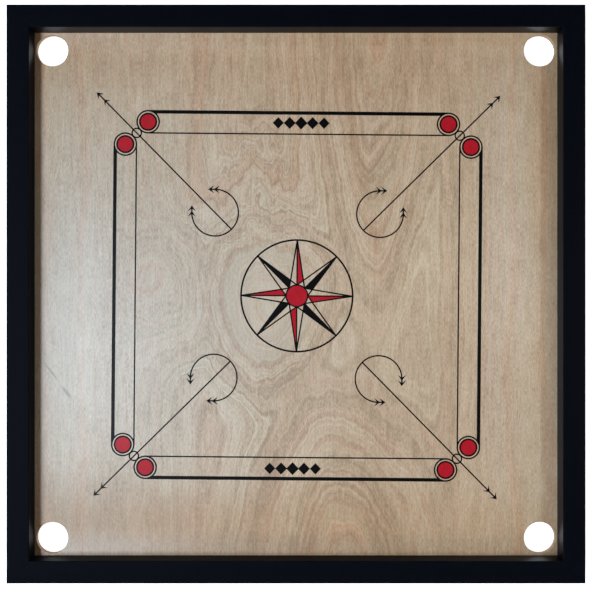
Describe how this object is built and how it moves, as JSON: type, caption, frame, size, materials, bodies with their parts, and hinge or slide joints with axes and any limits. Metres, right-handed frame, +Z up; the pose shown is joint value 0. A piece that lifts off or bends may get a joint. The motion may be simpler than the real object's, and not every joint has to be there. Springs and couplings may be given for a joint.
{
  "type": "carrom board",
  "caption": "Square wooden carrom board: lacquered plywood playing face with printed lines and corner pockets, mitred black rails and a grid of battens below.",
  "frame": {"origin": "middle of the underside of the rails, on the surface that the board stands on", "axes": "+Z up, out of the playing face; +X to the right-hand rail; +Y to the back rail, along the face grain"},
  "size_m": [0.803, 0.803, 0.05],
  "materials": {
    "lacquered_ply": "plywood with a pale face veneer of gentle cathedral figure under clear semi-gloss lacquer",
    "black_lacquer": "hardwood rail under blue-black satin lacquer",
    "batten_timber": "planed pale timber, unfinished",
    "blackened_steel": "black phosphate on steel, satin",
    "black_ink": "screen-printed black ink under the clear lacquer of the playing face",
    "red_ink": "screen-printed red ink under the clear lacquer of the playing face"
  },
  "bodies": {
    "root": {"playing_panel": "lacquered_ply", "rail_back": "black_lacquer", "rail_left": "black_lacquer", "rail_front": "black_lacquer", "rail_right": "black_lacquer", "batten_back": "batten_timber", "batten_left": "batten_timber", "batten_front": "batten_timber", "batten_right": "batten_timber", "corner_screw_back_right_upper": "blackened_steel", "corner_screw_back_right_lower": "blackened_steel", "corner_screw_back_left_upper": "blackened_steel", "corner_screw_back_left_lower": "blackened_steel", "corner_screw_front_left_upper": "blackened_steel", "corner_screw_front_left_lower": "blackened_steel", "corner_screw_front_right_upper": "blackened_steel", "corner_screw_front_right_lower": "blackened_steel", "batten_screw_back_at_left": "blackened_steel", "batten_screw_back_at_right": "blackened_steel", "batten_screw_left_at_back": "blackened_steel", "batten_screw_left_at_front": "blackened_steel", "batten_screw_front_at_left": "blackened_steel", "batten_screw_front_at_right": "blackened_steel", "batten_screw_right_at_back": "blackened_steel", "batten_screw_right_at_front": "blackened_steel", "lap_screw_back_right": "blackened_steel", "lap_screw_back_left": "blackened_steel", "lap_screw_front_left": "blackened_steel", "lap_screw_front_right": "blackened_steel"}
  },
  "joints": []
}
